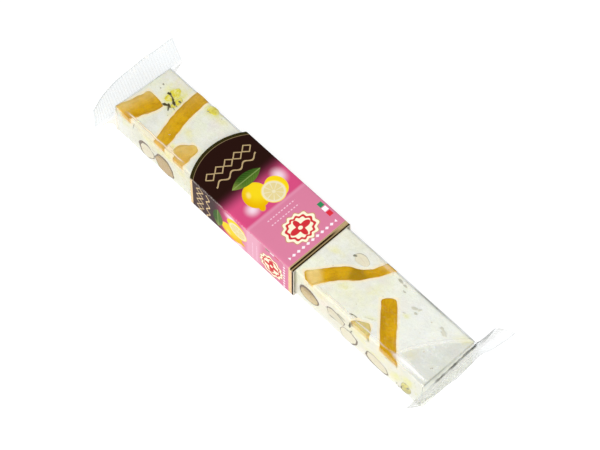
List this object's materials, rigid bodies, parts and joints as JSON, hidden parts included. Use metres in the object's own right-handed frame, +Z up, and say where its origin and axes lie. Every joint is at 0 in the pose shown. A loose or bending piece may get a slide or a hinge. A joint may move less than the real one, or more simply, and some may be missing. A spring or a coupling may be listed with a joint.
{
  "type": "nougat bar",
  "caption": "Long bar of soft white nougat with candied peel, almonds and pistachios, in a clear crimped wrapper with a printed card sleeve round its middle.",
  "frame": {"origin": "on the table, in the sleeve's underside, midway along the bar and midway across it", "axes": "+X along the bar, towards the end further from the sleeve; +Z up; -Y is the front side"},
  "size_m": [0.1993, 0.0504, 0.0287],
  "materials": {
    "nougat": "soft, slightly mottled off-white nougat",
    "candied_peel": "translucent amber candied peel",
    "almond": "cut almond with a thin brown skin",
    "pistachio": "cut pistachio with dark skin",
    "clear_film": "thin clear glossy film, ribbed at the crimps",
    "printed_card": "coated card with a satin print and foil edging"
  },
  "bodies": {
    "root": {"nougat": "nougat", "peel_strip_1": "candied_peel", "peel_strip_2": "candied_peel", "peel_strip_3": "candied_peel", "peel_strip_4": "candied_peel", "peel_strip_5": "candied_peel", "peel_strip_6": "candied_peel", "almond_1": "almond", "almond_2": "almond", "almond_3": "almond", "almond_4": "almond", "almond_5": "almond", "almond_6": "almond", "almond_7": "almond", "almond_8": "almond", "almond_9": "almond", "almond_10": "almond", "almond_11": "almond", "almond_12": "almond", "almond_13": "almond", "almond_14": "almond", "almond_15": "almond", "almond_16": "almond", "almond_17": "almond", "pistachio_1": "pistachio", "pistachio_2": "pistachio", "pistachio_3": "pistachio", "pistachio_4": "pistachio", "pistachio_5": "pistachio", "pistachio_6": "pistachio", "film_end_left": "clear_film", "film_end_right": "clear_film", "sleeve": "printed_card"}
  },
  "joints": []
}
